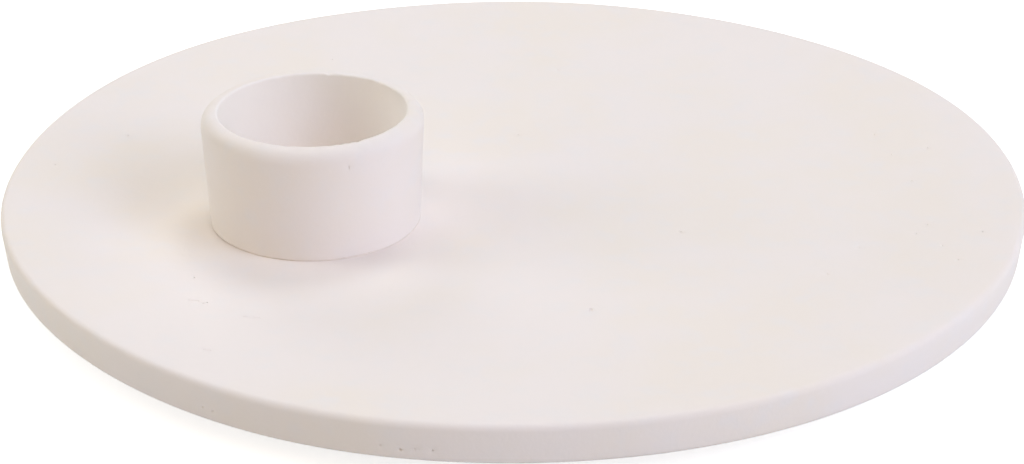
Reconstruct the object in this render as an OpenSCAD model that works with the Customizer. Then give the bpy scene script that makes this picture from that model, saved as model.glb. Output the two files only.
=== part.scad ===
// Candle plate: a round stoneware plate with a small cup for a dinner candle,
// set off to one side. The cup is formed by itself and luted to the plate: both
// seats are scored with a needle, and joining slip fills the marks and the gap.
// Soft dots under the foot ring keep the bare stoneware off the table.
// Millimetres, +Z up. The origin is on the plate's axis, on the table, and the
// cup stands towards -X.

/* [Plate] */
// Diameter of the plate across its upper edge, before that edge is rounded
plate_d = 125; // [116:1:170]
// Thickness of the slab, which is also the height of its edge
plate_t = 4.9; // [4:0.1:7]
// Diameter at which the flat floor turns up towards the rim
floor_d = 90; // [87:1:96]
// How far the rim stands above the floor
rim_rise = 1.4; // [0.6:0.1:2.4]
// Length of the soft bend on each side of the floor's turn
bend_l = 4; // [1:0.5:5]
// Radius on the upper outer edge
rim_upper_r = 1.2; // [0.6:0.1:1.8]
// Radius on the lower outer edge
rim_lower_r = 0.8; // [0.4:0.1:1.6]
// How much the edge leans in from top to bottom
rim_draft = 0.5; // [0:0.1:1]

/* [Foot ring] */
// Diameter of the foot ring's bare face
foot_d = 84; // [78:1:90]
// Width of the foot ring's bare face
foot_w = 10; // [10:0.5:16]
// How far the foot ring stands out of the slab
foot_h = 0.8; // [0.4:0.1:1.5]
// Width of the slope from the bare face up to the slab
foot_slope = 1.2; // [0.6:0.1:2]
// Radius on the foot ring's edges and in the corners beside it
foot_r = 0.5; // [0.2:0.1:0.6]

/* [Candle cup] */
// Distance from the plate's axis to the cup's axis
cup_offset = 25.5; // [20:0.5:27]
// Bore for the candle, an easy fit on a 22 mm dinner candle
bore_d = 22.5; // [20:0.5:25]
// Height of the cup's lip above the plate's floor
cup_h = 14; // [10:0.5:24]
// Wall of the cup at its lip, before the lip is rounded
wall_lip = 2.1; // [1.7:0.1:3.2]
// Wall of the cup at its foot
wall_foot = 1.4; // [1.2:0.1:2.6]
// Radius on the lip's outer edge
lip_outer_r = 1.6; // [0.4:0.1:1.8]
// Radius on the lip's inner edge
lip_inner_r = 0.3; // [0.2:0.1:0.6]

/* [Luted seat] */
// Thickness of the joining slip between the cup and the plate
slip_t = 0.15; // [0.1:0.05:0.5]
// How far the slip is wiped back from the cup's bore and from its outer wall
slip_wipe = 0.2; // [0.1:0.05:0.25]
// Number of rings scored into each seat
score_n = 2; // [1:1:3]
// Width of a scored ring
score_w = 0.25; // [0.15:0.05:0.3]
// Depth of a scored ring
score_depth = 0.3; // [0.15:0.05:0.5]

/* [Foot dots] */
// Number of dots under the foot ring
dot_n = 4; // [3:1:6]
// Diameter of a dot
dot_d = 8; // [5:0.5:9]
// Height of a dot
dot_h = 1.6; // [1:0.1:3]
// Radius on a dot's lower edge
dot_r = 0.8; // [0.3:0.1:0.9]

/* [Hidden] */

// Sides of every turned surface, and steps along every rounded corner
$fn = 128;
arc_steps = 8;

stoneware = "#ebe6e3";
fired_slip = "#d8cdc4";
soft_rubber = "#dcdcd8";

// Radii, from the plate's axis and from the cup's axis
rim_top_r = plate_d / 2;
rim_base_r = rim_top_r - rim_draft;
floor_r = floor_d / 2;
foot_outer_r = foot_d / 2;
foot_inner_r = foot_outer_r - foot_w;
dot_ring_r = foot_outer_r - foot_w / 2;
bore_r = bore_d / 2;

// The lip's outer rounding leaves the wall room for the inner one
lip_roll_r = min(lip_outer_r, 0.94 * (wall_lip - lip_inner_r));

// Band of the luted seat that the slip covers, and the rings scored along it
seat_inner_r = bore_r + slip_wipe;
seat_w = wall_foot - 2 * slip_wipe;
score_radii = [for (i = [1 : score_n]) seat_inner_r + seat_w * (i - 0.5) / score_n];

// Levels above the table
foot_z = dot_h;
slab_z = foot_z + foot_h;
floor_z = slab_z + plate_t;
rim_z = floor_z + rim_rise;
cup_base_z = floor_z + slip_t;
lip_z = floor_z + cup_h;

// Radius of the soft bend, which meets the floor and the rising ring smoothly
rise_angle = atan(rim_rise / (rim_top_r - floor_r));
bend_r = bend_l / tan(rise_angle / 2);

function dot_name(i) = str("foot_dot_", i);

function unit(v) = v / norm(v);
function turned(v, a) = [v.x * cos(a) - v.y * sin(a), v.x * sin(a) + v.y * cos(a)];

// Arc of radius r that rounds corner p on the way from a to b
function corner_arc(a, p, b, r) =
    let (
        to_a = unit(a - p),
        to_b = unit(b - p),
        half = acos(to_a * to_b) / 2,
        centre = p + unit(to_a + to_b) * r / sin(half),
        start = p + to_a * r / tan(half) - centre,
        sweep = -sign(cross(to_a, to_b)) * (180 - 2 * half)
    )
    [for (i = [0 : arc_steps]) centre + turned(start, sweep * i / arc_steps)];

// Outline through corners [x, y] or [x, y, r], where r rounds the corner
function rounded(corners) =
    let (
        n = len(corners),
        at = [for (c = corners) [c.x, c.y]]
    )
    [for (i = [0 : n - 1])
        each len(corners[i]) == 2
            ? [at[i]]
            : corner_arc(at[(i + n - 1) % n], at[i], at[(i + 1) % n], corners[i][2])];

// Half section of the plate: floor, soft bend, rising ring, rim and foot ring
module plate_section() {
    polygon(rounded([
        [0, slab_z],
        [foot_inner_r - foot_slope, slab_z, foot_r],
        [foot_inner_r, foot_z, foot_r],
        [foot_outer_r, foot_z, foot_r],
        [foot_outer_r + foot_slope, slab_z, foot_r],
        [rim_base_r, slab_z + rim_rise, rim_lower_r],
        [rim_top_r, rim_z, rim_upper_r],
        [floor_r, floor_z, bend_r],
        [0, floor_z]
    ]));
}

// Half section of the cup about its own axis: straight bore, leaning wall, soft lip
module cup_section() {
    difference() {
        polygon(rounded([
            [bore_r, cup_base_z],
            [bore_r + wall_foot, cup_base_z],
            [bore_r + wall_lip, lip_z, lip_roll_r],
            [bore_r, lip_z, lip_inner_r]
        ]));
        score_section(cup_base_z, score_depth);
    }
}

// Outline of a needle mark at radius r in a seat at level z, as deep as a signed depth
function score_mark(r, z, depth) = [[r - score_w / 2, z], [r, z + depth], [r + score_w / 2, z]];

function reversed(list) = [for (i = [len(list) - 1 : -1 : 0]) list[i]];

// Half section of the needle marks in a seat at level z
module score_section(z, depth) {
    for (r = score_radii)
        polygon(score_mark(r, z, depth));
}

// Half section of the slip: a flat layer with a ridge in every mark, below and above
module slip_section() {
    polygon([
        [seat_inner_r, floor_z],
        for (r = score_radii)
            each score_mark(r, floor_z, -score_depth),
        [seat_inner_r + seat_w, floor_z],
        [seat_inner_r + seat_w, cup_base_z],
        for (r = reversed(score_radii))
            each reversed(score_mark(r, cup_base_z, score_depth)),
        [seat_inner_r, cup_base_z]
    ]);
}

module about_cup_axis() {
    translate([-cup_offset, 0, 0])
        rotate_extrude()
            children();
}

module plate() {
    color(stoneware)
        difference() {
            rotate_extrude()
                plate_section();
            about_cup_axis()
                score_section(floor_z, -score_depth);
        }
}

module candle_cup() {
    color(stoneware)
        about_cup_axis()
            cup_section();
}

module joining_slip() {
    color(fired_slip)
        about_cup_axis()
            slip_section();
}

// Dot i, even steps round the foot ring and the first half a step from +X
module foot_dot(i) {
    color(soft_rubber)
        rotate([0, 0, (i - 0.5) * 360 / dot_n])
            translate([dot_ring_r, 0, 0])
                rotate_extrude()
                    polygon(rounded([
                        [0, 0],
                        [dot_d / 2, 0, dot_r],
                        [dot_d / 2, dot_h],
                        [0, dot_h]
                    ]));
}

plate();
candle_cup();
joining_slip();
for (i = [1 : dot_n])
    foot_dot(i);
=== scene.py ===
"""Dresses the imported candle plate: a matt stoneware plate with a luted cup for a dinner candle.

Every length in the dataclasses below is in millimetres, in the part's own frame, with +Z up and
the cup towards -X. Blender works in metres, so MM turns one into the other.
"""

import logging
import math
from collections.abc import Callable, Sequence
from dataclasses import dataclass
from enum import Enum

import bmesh
import bpy
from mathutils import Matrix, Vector, noise
from mathutils.geometry import intersect_point_line
from mathutils.kdtree import KDTree


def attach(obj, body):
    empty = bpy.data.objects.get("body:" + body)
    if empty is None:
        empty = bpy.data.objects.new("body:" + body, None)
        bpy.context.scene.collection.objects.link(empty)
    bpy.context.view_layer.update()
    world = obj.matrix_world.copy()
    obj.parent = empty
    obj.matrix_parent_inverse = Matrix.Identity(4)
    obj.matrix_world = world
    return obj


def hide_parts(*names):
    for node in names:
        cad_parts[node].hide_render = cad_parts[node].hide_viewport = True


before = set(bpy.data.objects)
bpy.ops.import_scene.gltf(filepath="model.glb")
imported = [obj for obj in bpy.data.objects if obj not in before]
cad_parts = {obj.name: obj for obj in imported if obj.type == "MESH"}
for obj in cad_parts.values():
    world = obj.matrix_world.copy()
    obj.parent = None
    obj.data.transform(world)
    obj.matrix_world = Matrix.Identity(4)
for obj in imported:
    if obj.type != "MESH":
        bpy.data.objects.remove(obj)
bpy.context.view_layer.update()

MM = 0.001
BODY = "root"
PHOTO_WIDTH_PX = 1024
SENSOR_WIDTH_MM = 36.0
CORNER_ANGLE = math.radians(50.0)
FEWEST_ARC_STEPS = 6
LOG = logging.getLogger("candle_plate")

Colour = tuple[float, float, float, float]
Point = tuple[float, float]


def linear_colour(hex_code: str) -> Colour:
    """Turns an sRGB hex value into a linear colour.

    Args:
        hex_code: The colour as "#rrggbb".

    Returns:
        The linear red, green, blue and an alpha of 1.
    """
    channels = [int(hex_code[i:i + 2], 16) / 255 for i in (1, 3, 5)]
    linear = [c / 12.92 if c <= 0.04045 else ((c + 0.055) / 1.055) ** 2.4 for c in channels]
    return (*linear, 1.0)


def add_node(
    tree: bpy.types.NodeTree,
    kind: str,
    settings: dict[str, object] | None = None,
    inputs: dict[str | int, object] | None = None,
) -> bpy.types.Node:
    """Adds a node with its settings, and its inputs either set or linked.

    Args:
        tree: The node tree that gets the node.
        kind: Blender's name of the node's type.
        settings: Attributes of the node, by name.
        inputs: Values or output sockets, by the input's name or number.

    Returns:
        The new node.
    """
    node = tree.nodes.new(kind)
    for name, value in (settings or {}).items():
        setattr(node, name, value)
    for name, value in (inputs or {}).items():
        if isinstance(value, bpy.types.NodeSocket):
            tree.links.new(value, node.inputs[name])
        else:
            node.inputs[name].default_value = value
    return node


class Slot(Enum):
    """The record's material slots."""

    STONEWARE = "stoneware"
    FIRED_SLIP = "fired_slip"
    SOFT_RUBBER = "soft_rubber"


def new_material(name: str) -> tuple[bpy.types.Material, bpy.types.NodeTree]:
    """Makes an empty node material.

    Args:
        name: The material's name.

    Returns:
        The material and its cleared node tree.
    """
    material = bpy.data.materials.new(name)
    material.use_nodes = True
    material.node_tree.nodes.clear()
    return material, material.node_tree


@dataclass(frozen=True)
class MattSlipStoneware:
    """Stoneware under a matt white slip coat, sponged smooth and fired without a glaze.

    The eye gets a soft chalky white with hardly any gloss, faint warm and cool clouds, the grain of
    the clay, a paler colour painted into the cup's bore as painted light, and a bare warmer clay
    where the foot ring was wiped clean.
    """

    name: str = "matt_slip_coated_stoneware"
    coat_hex: str = "#F2EBE8"
    warm_hex: str = "#F2EAE2"
    cool_hex: str = "#EFEBEA"
    # Painted light: a paler colour for the inside of the bore that stands in for light reaching
    # down into it.
    bore_painted_light_hex: str = "#FAF5F1"
    bare_hex: str = "#CDBBA6"
    roughness: tuple[float, float] = (0.62, 0.78)
    ior: float = 1.5
    specular: float = 0.3
    cloud_mm: float = 16.0
    warm_band: tuple[float, float] = (0.42, 0.66)
    warm_share: float = 0.8
    blotch_mm: float = 3.2
    cool_band: tuple[float, float] = (0.5, 0.75)
    cool_share: float = 0.6
    sponge_mm: float = 1.5
    sponge_depth_mm: float = 0.03
    # The fired slip's own grain is finer than this and wouldn't show, so it is drawn coarser.
    grain_mm: float = 0.35
    grain_depth_mm: float = 0.012
    bare_below_mm: float = 1.75
    bare_edge_mm: float = 0.1
    bore_x_mm: float = -25.5
    bore_r_mm: float = 11.3
    bore_edge_mm: float = 0.2

    def build(self) -> bpy.types.Material:
        """Makes the material.

        Returns:
            The finished material.
        """
        material, tree = new_material(self.name)
        place = add_node(tree, "ShaderNodeTexCoord").outputs["Object"]
        cloud, blotch, sponged, grained = (
            add_node(
                tree, "ShaderNodeTexNoise",
                inputs={"Vector": place, "Scale": 1 / (size * MM), "Detail": detail},
            ).outputs["Fac"]
            for size, detail in (
                (self.cloud_mm, 2.0),
                (self.blotch_mm, 3.0),
                (self.sponge_mm, 3.0),
                (self.grain_mm, 2.0),
            )
        )
        warm = add_node(
            tree, "ShaderNodeMapRange",
            inputs={
                "Value": cloud,
                "From Min": self.warm_band[0],
                "From Max": self.warm_band[1],
                "To Max": self.warm_share,
            },
        )
        cool = add_node(
            tree, "ShaderNodeMapRange",
            inputs={
                "Value": blotch,
                "From Min": self.cool_band[0],
                "From Max": self.cool_band[1],
                "To Max": self.cool_share,
            },
        )
        warmed = add_node(
            tree, "ShaderNodeMix", {"data_type": "RGBA"},
            {0: warm.outputs[0], 6: linear_colour(self.coat_hex), 7: linear_colour(self.warm_hex)},
        )
        cooled = add_node(
            tree, "ShaderNodeMix", {"data_type": "RGBA"},
            {0: cool.outputs[0], 6: warmed.outputs[2], 7: linear_colour(self.cool_hex)},
        )
        axes = add_node(tree, "ShaderNodeSeparateXYZ", inputs={0: place})
        bare = add_node(
            tree, "ShaderNodeMapRange",
            inputs={
                "Value": axes.outputs["Z"],
                "From Min": self.bare_below_mm * MM,
                "From Max": (self.bare_below_mm + self.bare_edge_mm) * MM,
                "To Min": 1.0,
                "To Max": 0.0,
            },
        )
        # Painted light: everything within the bore's radius of the cup's axis, at every height, is
        # lightened towards a paler colour in place of light in the bore.
        from_axis = add_node(
            tree, "ShaderNodeVectorMath", {"operation": "SUBTRACT"},
            {0: place, 1: (self.bore_x_mm * MM, 0.0, 0.0)},
        )
        flat = add_node(
            tree, "ShaderNodeVectorMath", {"operation": "MULTIPLY"},
            {0: from_axis.outputs[0], 1: (1.0, 1.0, 0.0)},
        )
        out = add_node(tree, "ShaderNodeVectorMath", {"operation": "LENGTH"}, {0: flat.outputs[0]})
        painted_bore_light = add_node(
            tree, "ShaderNodeMapRange",
            inputs={
                "Value": out.outputs["Value"],
                "From Min": self.bore_r_mm * MM,
                "From Max": (self.bore_r_mm + self.bore_edge_mm) * MM,
                "To Min": 1.0,
                "To Max": 0.0,
            },
        )
        bore_lightened = add_node(
            tree, "ShaderNodeMix", {"data_type": "RGBA"},
            {0: painted_bore_light.outputs[0], 6: cooled.outputs[2], 7: linear_colour(self.bore_painted_light_hex)},
        )
        colour = add_node(
            tree, "ShaderNodeMix", {"data_type": "RGBA"},
            {0: bare.outputs[0], 6: bore_lightened.outputs[2], 7: linear_colour(self.bare_hex)},
        )
        gloss = add_node(
            tree, "ShaderNodeMapRange",
            inputs={"Value": blotch, "To Min": self.roughness[0], "To Max": self.roughness[1]},
        )
        sponge = add_node(
            tree, "ShaderNodeBump",
            inputs={"Height": sponged, "Distance": self.sponge_depth_mm * MM, "Strength": 1.0},
        )
        grain = add_node(
            tree, "ShaderNodeBump",
            inputs={
                "Height": grained,
                "Distance": self.grain_depth_mm * MM,
                "Strength": 1.0,
                "Normal": sponge.outputs[0],
            },
        )
        shader = add_node(
            tree, "ShaderNodeBsdfPrincipled",
            inputs={
                "Base Color": colour.outputs[2],
                "Roughness": gloss.outputs[0],
                "Normal": grain.outputs[0],
                "IOR": self.ior,
                "Specular IOR Level": self.specular,
            },
        )
        add_node(tree, "ShaderNodeOutputMaterial", inputs={"Surface": shader.outputs[0]})
        return material


@dataclass(frozen=True)
class DryFiredSlip:
    """Joining slip of the same clay, squeezed out, wiped and fired dry.

    The eye gets a slightly darker, coarse clay in the fine gap under the cup.
    """

    name: str = "dry_fired_slip"
    clay_hex: str = "#EFE7E2"
    dark_hex: str = "#E2D8D0"
    roughness: float = 0.85
    lump_mm: float = 0.8
    lump_depth_mm: float = 0.03

    def build(self) -> bpy.types.Material:
        """Makes the material.

        Returns:
            The finished material.
        """
        material, tree = new_material(self.name)
        place = add_node(tree, "ShaderNodeTexCoord").outputs["Object"]
        lumps = add_node(
            tree, "ShaderNodeTexNoise",
            inputs={"Vector": place, "Scale": 1 / (self.lump_mm * MM), "Detail": 3.0},
        ).outputs["Fac"]
        colour = add_node(
            tree, "ShaderNodeMix", {"data_type": "RGBA"},
            {0: lumps, 6: linear_colour(self.clay_hex), 7: linear_colour(self.dark_hex)},
        )
        bump = add_node(
            tree, "ShaderNodeBump",
            inputs={"Height": lumps, "Distance": self.lump_depth_mm * MM, "Strength": 1.0},
        )
        shader = add_node(
            tree, "ShaderNodeBsdfPrincipled",
            inputs={
                "Base Color": colour.outputs[2],
                "Roughness": self.roughness,
                "Normal": bump.outputs[0],
            },
        )
        add_node(tree, "ShaderNodeOutputMaterial", inputs={"Surface": shader.outputs[0]})
        return material


@dataclass(frozen=True)
class CloudedSilicone:
    """Moulded silicone rubber, clouded, as stick-on bumper dots are.

    The eye gets a pale, milky rubber with a soft broad highlight and a little dust on it.
    """

    name: str = "moulded_clouded_silicone"
    body_hex: str = "#DCDCD8"
    dust_hex: str = "#C9C6BF"
    roughness: tuple[float, float] = (0.32, 0.55)
    ior: float = 1.41
    cloudiness: float = 0.25
    scatter_mm: float = 2.0
    dust_mm: float = 1.2
    dust_band: tuple[float, float] = (0.5, 0.8)
    # The texture that a mould leaves is finer than this and wouldn't show, so it is drawn coarser.
    skin_mm: float = 0.4
    skin_depth_mm: float = 0.006

    def build(self) -> bpy.types.Material:
        """Makes the material.

        Returns:
            The finished material.
        """
        material, tree = new_material(self.name)
        place = add_node(tree, "ShaderNodeTexCoord").outputs["Object"]
        specks, skin = (
            add_node(
                tree, "ShaderNodeTexNoise",
                inputs={"Vector": place, "Scale": 1 / (size * MM), "Detail": detail},
            ).outputs["Fac"]
            for size, detail in ((self.dust_mm, 4.0), (self.skin_mm, 2.0))
        )
        dust = add_node(
            tree, "ShaderNodeMapRange",
            inputs={
                "Value": specks,
                "From Min": self.dust_band[0],
                "From Max": self.dust_band[1],
            },
        )
        colour = add_node(
            tree, "ShaderNodeMix", {"data_type": "RGBA"},
            {0: dust.outputs[0], 6: linear_colour(self.body_hex), 7: linear_colour(self.dust_hex)},
        )
        gloss = add_node(
            tree, "ShaderNodeMapRange",
            inputs={
                "Value": dust.outputs[0],
                "To Min": self.roughness[0],
                "To Max": self.roughness[1],
            },
        )
        bump = add_node(
            tree, "ShaderNodeBump",
            inputs={"Height": skin, "Distance": self.skin_depth_mm * MM, "Strength": 1.0},
        )
        shader = add_node(
            tree, "ShaderNodeBsdfPrincipled",
            inputs={
                "Base Color": colour.outputs[2],
                "Roughness": gloss.outputs[0],
                "Normal": bump.outputs[0],
                "IOR": self.ior,
                "Subsurface Weight": self.cloudiness,
                "Subsurface Scale": self.scatter_mm * MM,
            },
        )
        add_node(tree, "ShaderNodeOutputMaterial", inputs={"Surface": shader.outputs[0]})
        return material


@dataclass(frozen=True)
class Corner:
    """A corner of a turned piece's half section, and the radius that rounds it."""

    out: float
    up: float
    rounding: float = 0.0


def corner_arc(before: Corner, corner: Corner, after: Corner, step: float) -> list[Point]:
    """Rounds one corner of a half section.

    Args:
        before: The corner before it.
        corner: The corner to round.
        after: The corner after it.
        step: The longest chord of the arc.

    Returns:
        The points along the arc, or the corner itself where it is sharp.
    """
    here = Vector((corner.out, corner.up))
    if corner.rounding == 0:
        return [here.to_tuple()]
    back = (Vector((before.out, before.up)) - here).normalized()
    on = (Vector((after.out, after.up)) - here).normalized()
    half = math.acos(max(-1.0, min(1.0, back.dot(on)))) / 2
    centre = here + (back + on).normalized() * corner.rounding / math.sin(half)
    start = here + back * corner.rounding / math.tan(half) - centre
    sweep = (math.pi - 2 * half) * (1 if back.cross(on) < 0 else -1)
    count = max(FEWEST_ARC_STEPS, math.ceil(abs(sweep) * corner.rounding / step))
    points = []
    for i in range(count + 1):
        a = sweep * i / count
        turned = Vector((
            start.x * math.cos(a) - start.y * math.sin(a),
            start.x * math.sin(a) + start.y * math.cos(a),
        ))
        points.append((centre + turned).to_tuple())
    return points


def half_section(corners: Sequence[Corner], step: float, closed: bool) -> list[Point]:
    """Walks a half section through rounded corners, with points no further apart than a step.

    Args:
        corners: The corners in order, with the material on their left.
        step: The longest distance between points, in millimetres.
        closed: Whether the last corner joins the first, as on a ring.

    Returns:
        The points as (distance from the axis, height).
    """
    count = len(corners)
    rough: list[Point] = []
    for i, corner in enumerate(corners):
        rough += corner_arc(corners[i - 1], corner, corners[(i + 1) % count], step)
    if closed:
        rough.append(rough[0])
    points = [rough[0]]
    for end in rough[1:]:
        start = points[-1]
        parts = max(1, math.ceil(math.dist(start, end) / step))
        along, up = end[0] - start[0], end[1] - start[1]
        points += [
            (start[0] + along * k / parts, start[1] + up * k / parts) for k in range(1, parts + 1)
        ]
    return points[:-1] if closed else points


def turned_mesh(
    name: str,
    section: Sequence[Point],
    segments: int,
    centre_x: float = 0.0,
    reshape: Callable[[float, float, float], tuple[float, float]] | None = None,
) -> bpy.types.Mesh:
    """Turns a half section about an upright axis.

    Args:
        name: The mesh's name.
        section: The points as (distance from the axis, height). Ends on the axis become poles.
        segments: The number of steps round the axis.
        centre_x: The axis's place along X.
        reshape: Gives a point's new distance and height from its distance, height and angle.

    Returns:
        The mesh, in metres, smooth but for its true corners.
    """
    closed = section[0][0] > 0
    poles = [] if closed else [section[0], section[-1]]
    rings = section if closed else section[1:-1]
    vertices = []
    for out, up in rings:
        for k in range(segments):
            angle = 2 * math.pi * k / segments
            r, z = reshape(out, up, angle) if reshape else (out, up)
            x, y = centre_x + r * math.cos(angle), r * math.sin(angle)
            vertices.append((x * MM, y * MM, z * MM))
    faces = []
    for j in range(len(rings) if closed else len(rings) - 1):
        low, high = j * segments, (j + 1) % len(rings) * segments
        faces += [
            (low + k, low + (k + 1) % segments, high + (k + 1) % segments, high + k)
            for k in range(segments)
        ]
    if poles:
        vertices += [(centre_x * MM, 0.0, up * MM) for _, up in poles]
        bottom, top = len(vertices) - 2, len(vertices) - 1
        last = (len(rings) - 1) * segments
        faces += [(bottom, (k + 1) % segments, k) for k in range(segments)]
        faces += [(top, last + k, last + (k + 1) % segments) for k in range(segments)]
    mesh = bpy.data.meshes.new(name)
    mesh.from_pydata(vertices, [], faces)
    mesh.validate()
    mesh.shade_smooth()
    mesh.set_sharp_from_angle(angle=CORNER_ANGLE)
    return mesh


def new_object(name: str, mesh: bpy.types.Mesh, material: bpy.types.Material) -> bpy.types.Object:
    """Puts a mesh into the scene with its material.

    Args:
        name: The piece's name.
        mesh: Its mesh, in place.
        material: Its material.

    Returns:
        The new object, at the origin.
    """
    piece = bpy.data.objects.new(name, mesh)
    mesh.materials.clear()
    mesh.materials.append(material)
    bpy.context.scene.collection.objects.link(piece)
    return piece


@dataclass(frozen=True)
class Wave:
    """One wave of a hand-finished outline: so many to a turn, so high, and where it crests."""

    count: int
    height: float
    crest_deg: float

    def at(self, angle: float) -> float:
        """Gives how far the wave pushes the outline out at an angle round the axis."""
        return self.height * math.cos(self.count * (angle - math.radians(self.crest_deg)))


@dataclass(frozen=True)
class Pit:
    """A pinhole, or with an end of its own a scratch, in a fired surface."""

    start: tuple[float, float, float]
    width: float
    depth: float
    end: tuple[float, float, float] | None = None

    def nearest(self, point: Vector) -> Vector:
        """Gives the point of the pit's middle line that is nearest to a point.

        Args:
            point: The point, in metres.

        Returns:
            The nearest point, in metres.
        """
        first = Vector(self.start) * MM
        if self.end is None:
            return first
        last = Vector(self.end) * MM
        share = intersect_point_line(point, first, last)[1]
        return first.lerp(last, max(0.0, min(1.0, share)))


# Faces around a pit that are opened for it, as a share of its width and in millimetres.
PIT_REACH = 1.1
LEAST_PIT_REACH = 0.75
# A pit's rings from its soft edge to its floor, as shares of its width and of its depth.
PIT_STEPS = ((1.3, 0.0), (1.0, 0.15), (0.6, 1.0))


def sink_pits(mesh: bpy.types.Mesh, pits: Sequence[Pit]) -> None:
    """Sinks pinholes and scratches into a closed mesh, each with a soft edge.

    Args:
        mesh: The mesh, in metres.
        pits: The pits, each on the mesh's surface.
    """
    form = bmesh.new()
    form.from_mesh(mesh)
    form.faces.ensure_lookup_table()
    tree = KDTree(len(form.faces))
    for face in form.faces:
        tree.insert(face.calc_center_median(), face.index)
    tree.balance()
    regions = []
    for pit in pits:
        first = Vector(pit.start) * MM
        last = Vector(pit.end or pit.start) * MM
        reach = max(PIT_REACH * pit.width, LEAST_PIT_REACH) * MM
        around = tree.find_range((first + last) / 2, (last - first).length / 2 + reach)
        near = [
            form.faces[i] for centre, i, _ in around
            if (centre - pit.nearest(centre)).length < reach
        ]
        regions.append((pit, near))
    for pit, near in regions:
        near = [face for face in near if face.is_valid]
        if not near:
            continue
        inwards = -sum((face.normal for face in near), Vector()).normalized()
        merged = bmesh.ops.dissolve_faces(form, faces=near, use_verts=False)["region"]
        face = merged[0] if merged else near[0]
        level = sum((v.co - pit.nearest(v.co)).dot(inwards) for v in face.verts) / len(face.verts)
        for share, sunk in PIT_STEPS:
            face = bmesh.ops.extrude_discrete_faces(form, faces=[face])["faces"][0]
            for vertex in face.verts:
                middle = pit.nearest(vertex.co)
                out = vertex.co - middle
                out -= inwards * out.dot(inwards)
                vertex.co = (
                    middle + out.normalized() * pit.width / 2 * share * MM
                    + inwards * (level + sunk * pit.depth * MM)
                )
    form.to_mesh(mesh)
    form.free()
    mesh.shade_smooth()


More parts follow.
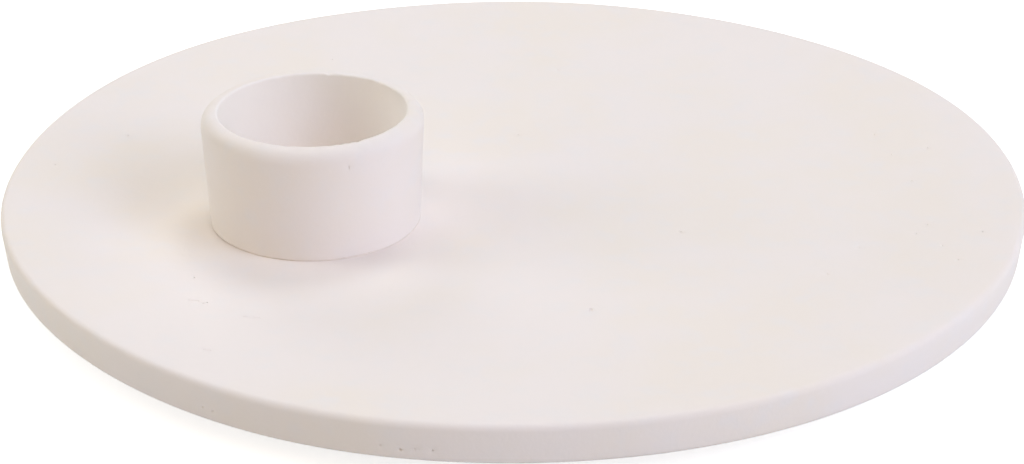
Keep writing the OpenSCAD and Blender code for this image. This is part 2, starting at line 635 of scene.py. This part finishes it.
@dataclass
class Plate:
    """The round plate: flat floor, soft bend, rising ring, soft rim, and a foot ring below."""

    floor_r: float = 45.0
    bend_r: float = 100.0
    rim_rise: float = 1.4
    thickness: float = 4.9
    edge_r: float = 62.5
    edge_lean: float = 0.5
    edge_upper_r: float = 0.7
    edge_lower_r: float = 0.8
    foot_outer_r: float = 42.0
    foot_inner_r: float = 32.0
    foot_slope: float = 1.2
    foot_r: float = 0.5
    foot_z: float = 1.6
    slab_z: float = 2.4
    segments: int = 480
    step: float = 0.9
    sag: float = 0.05
    sag_size: float = 22.0
    # The outline's waves fade towards the axis by this power of the distance.
    outline_fade: int = 4
    outline: tuple[Wave, ...] = (
        Wave(1, 0.06, -163.5),
        Wave(2, 0.09, -37.4),
        Wave(3, 0.19, -2.7),
        Wave(4, 0.08, 14.5),
        Wave(6, 0.12, -4.3),
        Wave(7, 0.07, 15.5),
    )
    hole_depth_share: float = 0.7
    scratch_depth_share: float = 0.5
    # Pinholes in the top: the place along X and Y, and the width.
    marks: tuple[tuple[float, float, float], ...] = (
        (-3.92, -34.6, 0.6), (13.8, -19.7, 0.42), (-41.5, 30.8, 0.42), (-43.5, -11.2, 0.35),
        (48.8, -2.5, 0.3), (47.8, -8.9, 0.3), (52.7, -9.4, 0.26), (46.3, -17.0, 0.34),
        (41.7, -29.2, 0.3), (39.3, -30.9, 0.26), (31.6, -31.1, 0.26), (24.9, -36.1, 0.26),
        (46.3, -34.2, 0.3), (39.9, -39.6, 0.3), (40.3, -35.3, 0.24), (-52.3, 23.9, 0.26),
        (19.2, 33.5, 0.24), (-8.8, 47.6, 0.26), (6.1, 14.4, 0.2), (-21.3, 40.9, 0.22),
    )
    # Pinholes in the edge: the angle in degrees, the distance, the height and the width.
    edge_marks: tuple[tuple[float, float, float, float], ...] = (
        (-123.5, 62.1, 5.5, 0.3), (-121.6, 62.1, 5.2, 0.4), (-120.2, 62.1, 5.4, 0.3),
        (-118.5, 62.1, 5.4, 0.24), (-141.4, 62.2, 5.4, 0.28), (-142.6, 62.2, 5.5, 0.26),
        (38.0, 62.2, 6.1, 0.3), (97.0, 62.0, 5.0, 0.3), (166.0, 62.1, 6.4, 0.26),
    )
    # Scratches in the top: both ends along X and Y, and the width.
    scratches: tuple[tuple[float, float, float, float, float], ...] = (
        (-45.6, -17.0, -44.6, -17.5, 0.24),
        (-44.5, -18.0, -43.8, -18.1, 0.3),
        (-40.9, -22.9, -39.2, -23.7, 0.2),
        (-47.3, -30.2, -46.6, -30.6, 0.2),
    )

    @property
    def floor_z(self) -> float:
        """The height of the flat floor."""
        return self.slab_z + self.thickness

    def corners(self) -> list[Corner]:
        """Lists the corners of the plate's half section.

        Returns:
            The corners, from the middle of the underside outwards and back to the middle.
        """
        return [
            Corner(0.0, self.slab_z),
            Corner(self.foot_inner_r - self.foot_slope, self.slab_z, self.foot_r),
            Corner(self.foot_inner_r, self.foot_z, self.foot_r),
            Corner(self.foot_outer_r, self.foot_z, self.foot_r),
            Corner(self.foot_outer_r + self.foot_slope, self.slab_z, self.foot_r),
            Corner(self.edge_r - self.edge_lean, self.slab_z + self.rim_rise, self.edge_lower_r),
            Corner(self.edge_r, self.floor_z + self.rim_rise, self.edge_upper_r),
            Corner(self.floor_r, self.floor_z, self.bend_r),
            Corner(0.0, self.floor_z),
        ]

    def top_z(self, x: float, y: float) -> float:
        """Gives the height of the plate's top at a place, as it was turned."""
        out = max(0.0, math.hypot(x, y) - self.floor_r)
        return self.floor_z + self.rim_rise * out / (self.edge_r - self.floor_r)

    def pits(self) -> list[Pit]:
        """Lists the pinholes and scratches.

        Returns:
            Those on the plate's top, and then those on its edge.
        """
        pits = [
            Pit((x, y, self.top_z(x, y)), width, self.hole_depth_share * width)
            for x, y, width in self.marks
        ]
        for x0, y0, x1, y1, width in self.scratches:
            start, end = (x0, y0, self.top_z(x0, y0)), (x1, y1, self.top_z(x1, y1))
            pits.append(Pit(start, width, self.scratch_depth_share * width, end))
        for angle_deg, r, z, width in self.edge_marks:
            angle = math.radians(angle_deg)
            place = (r * math.cos(angle), r * math.sin(angle), z)
            pits.append(Pit(place, width, self.scratch_depth_share * width))
        return pits

    def reshape(self, out: float, up: float, angle: float) -> tuple[float, float]:
        """Gives the hand-finished unevenness of the turned plate.

        Args:
            out: The distance from the axis.
            up: The height.
            angle: The angle round the axis.

        Returns:
            The new distance and height.
        """
        share = (out / self.edge_r) ** self.outline_fade
        pushed_out = sum(wave.at(angle) for wave in self.outline) * share
        spot = Vector((out * math.cos(angle), out * math.sin(angle), 0.0)) / self.sag_size
        on_top = up > self.slab_z + self.rim_rise
        sunk = self.sag * (0.5 + 0.5 * noise.noise(spot)) if on_top else 0.0
        return out + pushed_out, up - sunk

    def dress(self, coat: bpy.types.Material) -> bpy.types.Object:
        """Builds the plate and puts it in place of its CAD solid.

        Args:
            coat: The stoneware's material.

        Returns:
            The finished piece.
        """
        section = half_section(self.corners(), self.step, closed=False)
        mesh = turned_mesh("stoneware_plate", section, self.segments, reshape=self.reshape)
        sink_pits(mesh, self.pits())
        piece = new_object("stoneware_plate", mesh, coat)
        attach(piece, BODY)
        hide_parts("plate")
        return piece


@dataclass
class CandleCup:
    """The low open cup with a straight bore, a wall that widens upwards and a soft lip."""

    centre_x: float = -25.5
    bore_r: float = 11.25
    base_z: float = 7.45
    lip_z: float = 21.3
    wall_lip: float = 2.1
    wall_foot: float = 1.4
    lip_outer_r: float = 1.6
    lip_inner_r: float = 0.3
    segments: int = 448
    step: float = 0.3
    unevenness: float = 0.1
    unevenness_size: float = 5.0
    lip_wear: float = 0.12
    lip_wear_size: float = 1.3
    nick_reach: float = 0.7
    # Nicks in the lip's inner edge: the angle in degrees, the width and the depth.
    nicks: tuple[tuple[float, float, float], ...] = (
        (-90.0, 0.5, 0.12), (-85.0, 0.4, 0.1), (-79.5, 0.8, 0.16), (-31.0, 0.9, 0.12),
        (-7.5, 0.7, 0.16), (14.0, 0.8, 0.12), (63.0, 0.6, 0.1), (171.0, 0.7, 0.1),
    )
    # A knock below the lip, on the side towards -Y.
    knock: Pit = Pit((-25.2, -13.2, 19.15), 0.22, 0.09, (-25.2, -13.2, 18.9))

    def corners(self) -> list[Corner]:
        """Lists the corners of the cup's half section.

        Returns:
            The corners, about the cup's own axis.
        """
        return [
            Corner(self.bore_r, self.base_z),
            Corner(self.bore_r + self.wall_foot, self.base_z),
            Corner(self.bore_r + self.wall_lip, self.lip_z, self.lip_outer_r),
            Corner(self.bore_r, self.lip_z, self.lip_inner_r),
        ]

    def reshape(self, out: float, up: float, angle: float) -> tuple[float, float]:
        """Gives the slight unevenness of the cup's outer wall and lip.

        Args:
            out: The distance from the cup's axis.
            up: The height.
            angle: The angle round the axis.

        Returns:
            The new distance and height. The bore keeps its radius.
        """
        place = Vector((out * math.cos(angle), out * math.sin(angle), up))
        drawn_in = self.unevenness * (0.5 + 0.5 * noise.noise(place / self.unevenness_size))
        lip = max(0.0, 1 - (self.lip_z - up) / self.lip_outer_r)
        worn = self.lip_wear * lip * max(0.0, noise.noise(place / self.lip_wear_size))
        for nick_deg, width, depth in self.nicks:
            turn = (angle - math.radians(nick_deg) + math.pi) % (2 * math.pi) - math.pi
            inner = math.exp(-((out - self.bore_r) / self.nick_reach) ** 2)
            along = math.exp(-(turn * self.bore_r / (width / 2)) ** 2)
            worn += depth * lip * inner * along
        if out <= self.bore_r:
            return out, up - worn
        return out - drawn_in, up - worn

    def dress(self, coat: bpy.types.Material) -> bpy.types.Object:
        """Builds the cup and puts it in place of its CAD solid.

        Args:
            coat: The stoneware's material.

        Returns:
            The finished piece.
        """
        section = half_section(self.corners(), self.step, closed=True)
        mesh = turned_mesh("luted_cup", section, self.segments, self.centre_x, self.reshape)
        sink_pits(mesh, [self.knock])
        piece = new_object("luted_cup", mesh, coat)
        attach(piece, BODY)
        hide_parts("candle_cup")
        return piece


@dataclass
class JoiningSlip:
    """The thin ring of slip under the cup, wiped back unevenly from the outside of the joint."""

    centre_x: float = -25.5
    inner_r: float = 11.45
    outer_r: float = 12.45
    low_z: float = 7.25
    high_z: float = 7.5
    segments: int = 360
    step: float = 0.1
    smear: float = 0.25
    smear_size: float = 2.6
    unevenness: float = 0.45
    wiped_back: float = 0.15
    furthest_r: float = 12.6
    filled_towards_deg: float = -15.0

    def reshape(self, out: float, up: float, angle: float) -> tuple[float, float]:
        """Gives the slip's uneven outer edge.

        Args:
            out: The distance from the cup's axis.
            up: The height.
            angle: The angle round the axis.

        Returns:
            The new distance, and the height as it was.
        """
        if out < (self.inner_r + self.outer_r) / 2:
            return out, up
        spot = Vector((math.cos(angle), math.sin(angle), 0.0)) * self.outer_r / self.smear_size
        filled = 0.5 + 0.5 * math.cos(angle - math.radians(self.filled_towards_deg))
        reach = self.smear * (self.unevenness * noise.noise(spot) + filled - self.wiped_back)
        return min(out + reach, self.furthest_r), up

    def dress(self, slip: bpy.types.Material) -> bpy.types.Object:
        """Builds the ring and puts it in place of its CAD solid.

        Args:
            slip: The fired slip's material.

        Returns:
            The finished piece.
        """
        corners = [
            Corner(self.inner_r, self.low_z),
            Corner(self.outer_r, self.low_z),
            Corner(self.outer_r, self.high_z),
            Corner(self.inner_r, self.high_z),
        ]
        section = half_section(corners, self.step, closed=True)
        mesh = turned_mesh("luting_slip", section, self.segments, self.centre_x, self.reshape)
        piece = new_object("luting_slip", mesh, slip)
        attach(piece, BODY)
        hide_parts("joining_slip")
        return piece


@dataclass
class FootDots:
    """Moulded dots stuck under the foot ring, set out evenly by a node tree."""

    count: int = 4
    ring_r: float = 37.0
    first_deg: float = 45.0
    dot_r: float = 4.0
    height: float = 1.6
    edge_r: float = 0.8
    segments: int = 96
    step: float = 0.3
    stuck_askew: float = 0.02
    seed: int = 7

    def one_dot(self) -> bpy.types.Mesh:
        """Turns one dot about the Z axis.

        Returns:
            The dot's mesh, in metres.
        """
        corners = [
            Corner(0.0, 0.0),
            Corner(self.dot_r, 0.0, self.edge_r),
            Corner(self.dot_r, self.height),
            Corner(0.0, self.height),
        ]
        return turned_mesh("one_dot", half_section(corners, self.step, closed=False), self.segments)

    def tree(self) -> bpy.types.GeometryNodeTree:
        """Builds the node tree that sets out copies of its geometry on a ring.

        Returns:
            The tree, with its sizes as named inputs.
        """
        tree = bpy.data.node_groups.new("dots_under_foot_ring", "GeometryNodeTree")
        sockets = (
            ("Geometry", "NodeSocketGeometry"),
            ("Dots", "NodeSocketInt"),
            ("Ring radius", "NodeSocketFloat"),
            ("First angle", "NodeSocketFloat"),
            ("Askew", "NodeSocketFloat"),
            ("Seed", "NodeSocketInt"),
            ("Material", "NodeSocketMaterial"),
        )
        for name, kind in sockets:
            tree.interface.new_socket(name, in_out="INPUT", socket_type=kind)
        tree.interface.new_socket("Geometry", in_out="OUTPUT", socket_type="NodeSocketGeometry")
        given = add_node(tree, "NodeGroupInput").outputs
        ring = add_node(
            tree, "GeometryNodeMeshCircle",
            inputs={"Vertices": given["Dots"], "Radius": given["Ring radius"]},
        )
        first = add_node(tree, "ShaderNodeCombineXYZ", inputs={"Z": given["First angle"]})
        turned = add_node(
            tree, "GeometryNodeTransform",
            inputs={"Geometry": ring.outputs[0], "Rotation": first.outputs[0]},
        )
        low = add_node(
            tree, "ShaderNodeMath", {"operation": "SUBTRACT"}, {0: 1.0, 1: given["Askew"]},
        )
        size = add_node(
            tree, "FunctionNodeRandomValue", {"data_type": "FLOAT"},
            {"Min": low.outputs[0], "Max": 1.0, "Seed": given["Seed"]},
        )
        scale = add_node(
            tree, "ShaderNodeCombineXYZ",
            inputs={"X": size.outputs[1], "Y": size.outputs[1], "Z": 1.0},
        )
        dots = add_node(
            tree, "GeometryNodeInstanceOnPoints",
            inputs={
                "Points": turned.outputs[0],
                "Instance": given["Geometry"],
                "Scale": scale.outputs[0],
            },
        )
        real = add_node(tree, "GeometryNodeRealizeInstances", inputs={"Geometry": dots.outputs[0]})
        dressed = add_node(
            tree, "GeometryNodeSetMaterial",
            inputs={"Geometry": real.outputs[0], "Material": given["Material"]},
        )
        add_node(tree, "NodeGroupOutput", inputs={0: dressed.outputs[0]})
        return tree

    def dress(self, rubber: bpy.types.Material) -> bpy.types.Object:
        """Builds the dots as one piece and puts it in place of their CAD solids.

        Args:
            rubber: The dots' material.

        Returns:
            The finished piece.
        """
        tree = self.tree()
        pattern = new_object("dot_pattern", self.one_dot(), rubber)
        modifier = pattern.modifiers.new("dots", "NODES")
        modifier.node_group = tree
        values = {
            "Dots": self.count,
            "Ring radius": self.ring_r * MM,
            "First angle": math.radians(self.first_deg),
            "Askew": self.stuck_askew,
            "Seed": self.seed,
            "Material": rubber,
        }
        for item in tree.interface.items_tree:
            if item.in_out == "INPUT" and item.name in values:
                modifier[item.identifier] = values[item.name]
        evaluated = pattern.evaluated_get(bpy.context.evaluated_depsgraph_get())
        baked = bpy.data.meshes.new_from_object(evaluated)
        pattern.modifiers.remove(modifier)
        bpy.data.objects.remove(pattern)
        baked.shade_smooth()
        piece = new_object("bumper_dots", baked, rubber)
        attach(piece, BODY)
        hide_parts(*(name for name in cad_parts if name.startswith("foot_dot")))
        return piece


@dataclass
class StudioLight:
    """A soft square lamp, by its direction from the plate, its power, colour, size and distance."""

    name: str
    azimuth_deg: float
    elevation_deg: float
    power_w: float
    colour_hex: str
    size: float = 420.0
    distance: float = 1100.0

    def build(self, target: Vector) -> bpy.types.Object:
        """Makes the lamp and aims it.

        Args:
            target: The point that it shines at, in metres.

        Returns:
            The lamp's object.
        """
        data = bpy.data.lights.new(self.name, "AREA")
        data.shape = "SQUARE"
        data.size = self.size * MM
        data.energy = self.power_w
        data.color = linear_colour(self.colour_hex)[:3]
        lamp = bpy.data.objects.new(self.name, data)
        out = direction(self.azimuth_deg, self.elevation_deg)
        lamp.location = target + out * self.distance * MM
        lamp.rotation_mode = "QUATERNION"
        lamp.rotation_quaternion = out.to_track_quat("Z", "Y")
        bpy.context.scene.collection.objects.link(lamp)
        return lamp


def direction(azimuth_deg: float, elevation_deg: float) -> Vector:
    """Gives the direction from the plate towards an azimuth and elevation.

    Args:
        azimuth_deg: 0 is towards -Y and 90 towards +X.
        elevation_deg: The angle above the table.

    Returns:
        A vector of length 1.
    """
    a, e = math.radians(azimuth_deg), math.radians(elevation_deg)
    return Vector((math.sin(a) * math.cos(e), -math.cos(a) * math.cos(e), math.sin(e)))


@dataclass
class Studio:
    """The camera at the photograph's angle, a white floor and soft lamps."""

    camera_azimuth_deg: float = -20.76
    camera_elevation_deg: float = 25.45
    camera_distance: float = 312.0
    camera_target: tuple[float, float, float] = (-2.66, -6.42, 4.09)
    focal_px: float = 2558.4
    nearest_m: float = 0.01
    furthest_m: float = 20.0
    floor_size: float = 1400.0
    floor_grey: float = 0.8
    floor_glow: float = 0.72
    lamps: tuple[StudioLight, ...] = (
        StudioLight("window_right", 50.0, 46.0, 1.504, "#D2E0FF"),
        StudioLight("window_right_front", 35.0, 38.0, 1.35, "#A1C6FF"),
        StudioLight("window_front", 15.0, 38.0, 0.972, "#E7E2FF"),
        StudioLight("lamp_front", -20.0, 45.0, 1.816, "#FFD8AA"),
        StudioLight("wall_right_front", 35.0, 20.0, 3.888, "#F7FAFF", size=700.0),
        StudioLight("wall_right", 85.0, 20.0, 1.272, "#FFF2D1", size=700.0),
        StudioLight("ceiling_above", 0.0, 89.5, 1.687, "#FFFFFE", size=850.0),
        StudioLight("ceiling_behind", 140.0, 62.0, 2.688, "#FDFFFC"),
        StudioLight("wall_behind", 180.0, 30.0, 1.93, "#FFFBF6"),
        StudioLight("ceiling_left", -115.0, 62.0, 0.84, "#FAFFFF"),
        StudioLight("window_left", -115.0, 40.0, 1.575, "#E9F6FF"),
        StudioLight("wall_left_behind", -115.0, 18.0, 1.944, "#FFF6EF"),
        StudioLight("wall_left", -85.0, 18.0, 0.876, "#FFFBCB"),
    )

    def camera(self) -> bpy.types.Object:
        """Makes the camera.

        Returns:
            The scene's camera.
        """
        data = bpy.data.cameras.new("photo_camera")
        data.sensor_width = SENSOR_WIDTH_MM
        data.lens = SENSOR_WIDTH_MM * self.focal_px / PHOTO_WIDTH_PX
        data.clip_start = self.nearest_m
        data.clip_end = self.furthest_m
        camera = bpy.data.objects.new("photo_camera", data)
        back = direction(self.camera_azimuth_deg, self.camera_elevation_deg)
        camera.location = (Vector(self.camera_target) + back * self.camera_distance) * MM
        camera.rotation_mode = "QUATERNION"
        camera.rotation_quaternion = back.to_track_quat("Z", "Y")
        bpy.context.scene.collection.objects.link(camera)
        bpy.context.scene.camera = camera
        return camera

    @staticmethod
    def seen_directly(tree: bpy.types.NodeTree) -> bpy.types.NodeSocket:
        """Tells rays that show a surface from those that only carry light.

        Args:
            tree: The node tree of the floor or the world.

        Returns:
            1 for camera, glossy and transmission rays, and 0 for all others.
        """
        rays = add_node(tree, "ShaderNodeLightPath").outputs
        first = add_node(
            tree, "ShaderNodeMath", {"operation": "MAXIMUM"},
            {0: rays["Is Camera Ray"], 1: rays["Is Glossy Ray"]},
        )
        either = add_node(
            tree, "ShaderNodeMath", {"operation": "MAXIMUM"},
            {0: first.outputs[0], 1: rays["Is Transmission Ray"]},
        )
        return either.outputs[0]

    def floor_material(self) -> bpy.types.Material:
        """Makes the floor's white: it keeps the plate's shadow and is clear from below.

        Returns:
            The finished material.
        """
        material, tree = new_material("white_studio_floor")
        grey = (self.floor_grey, self.floor_grey, self.floor_grey, 1.0)
        paper = add_node(tree, "ShaderNodeBsdfDiffuse", inputs={"Color": grey})
        glow = add_node(tree, "ShaderNodeEmission", inputs={"Strength": self.floor_glow})
        lit = add_node(
            tree, "ShaderNodeAddShader", inputs={0: paper.outputs[0], 1: glow.outputs[0]},
        )
        white = add_node(
            tree, "ShaderNodeMixShader",
            inputs={0: self.seen_directly(tree), 1: paper.outputs[0], 2: lit.outputs[0]},
        )
        side = add_node(tree, "ShaderNodeNewGeometry")
        clear = add_node(tree, "ShaderNodeBsdfTransparent")
        surface = add_node(
            tree, "ShaderNodeMixShader",
            inputs={0: side.outputs["Backfacing"], 1: white.outputs[0], 2: clear.outputs[0]},
        )
        add_node(tree, "ShaderNodeOutputMaterial", inputs={"Surface": surface.outputs[0]})
        return material

    def floor(self) -> bpy.types.Object:
        """Makes the white floor that the foot dots stand on.

        Returns:
            The floor.
        """
        half = self.floor_size * MM / 2
        mesh = bpy.data.meshes.new("floor")
        mesh.from_pydata(
            [(-half, -half, 0.0), (half, -half, 0.0), (half, half, 0.0), (-half, half, 0.0)],
            [],
            [(0, 1, 2, 3)],
        )
        floor = new_object("floor", mesh, self.floor_material())
        return floor

    def sky(self) -> None:
        """Makes the world: white where it is seen or mirrored, and no light of its own."""
        world = bpy.data.worlds.new("white_room")
        bpy.context.scene.world = world
        world.use_nodes = True
        tree = world.node_tree
        tree.nodes.clear()
        light = add_node(
            tree, "ShaderNodeBackground",
            inputs={"Color": (1.0, 1.0, 1.0, 1.0), "Strength": self.seen_directly(tree)},
        )
        add_node(tree, "ShaderNodeOutputWorld", inputs={"Surface": light.outputs[0]})

    def build(self) -> None:
        """Builds the whole studio. The lamps are aimed at the middle of the plate."""
        bpy.context.scene.view_settings.view_transform = "Standard"
        self.camera()
        self.floor()
        self.sky()
        for lamp in self.lamps:
            lamp.build(Vector())


def main() -> None:
    """Builds the studio and every piece, and reports each one."""
    logging.basicConfig(level=logging.INFO, format="%(name)s: %(message)s")
    Studio().build()
    coat = MattSlipStoneware().build()
    pieces = [
        Plate().dress(coat),
        CandleCup().dress(coat),
        JoiningSlip().dress(DryFiredSlip().build()),
        FootDots().dress(CloudedSilicone().build()),
    ]
    for piece in pieces:
        LOG.info("%s: %d faces", piece.name, len(piece.data.polygons))


if __name__ == "__main__":
    main()
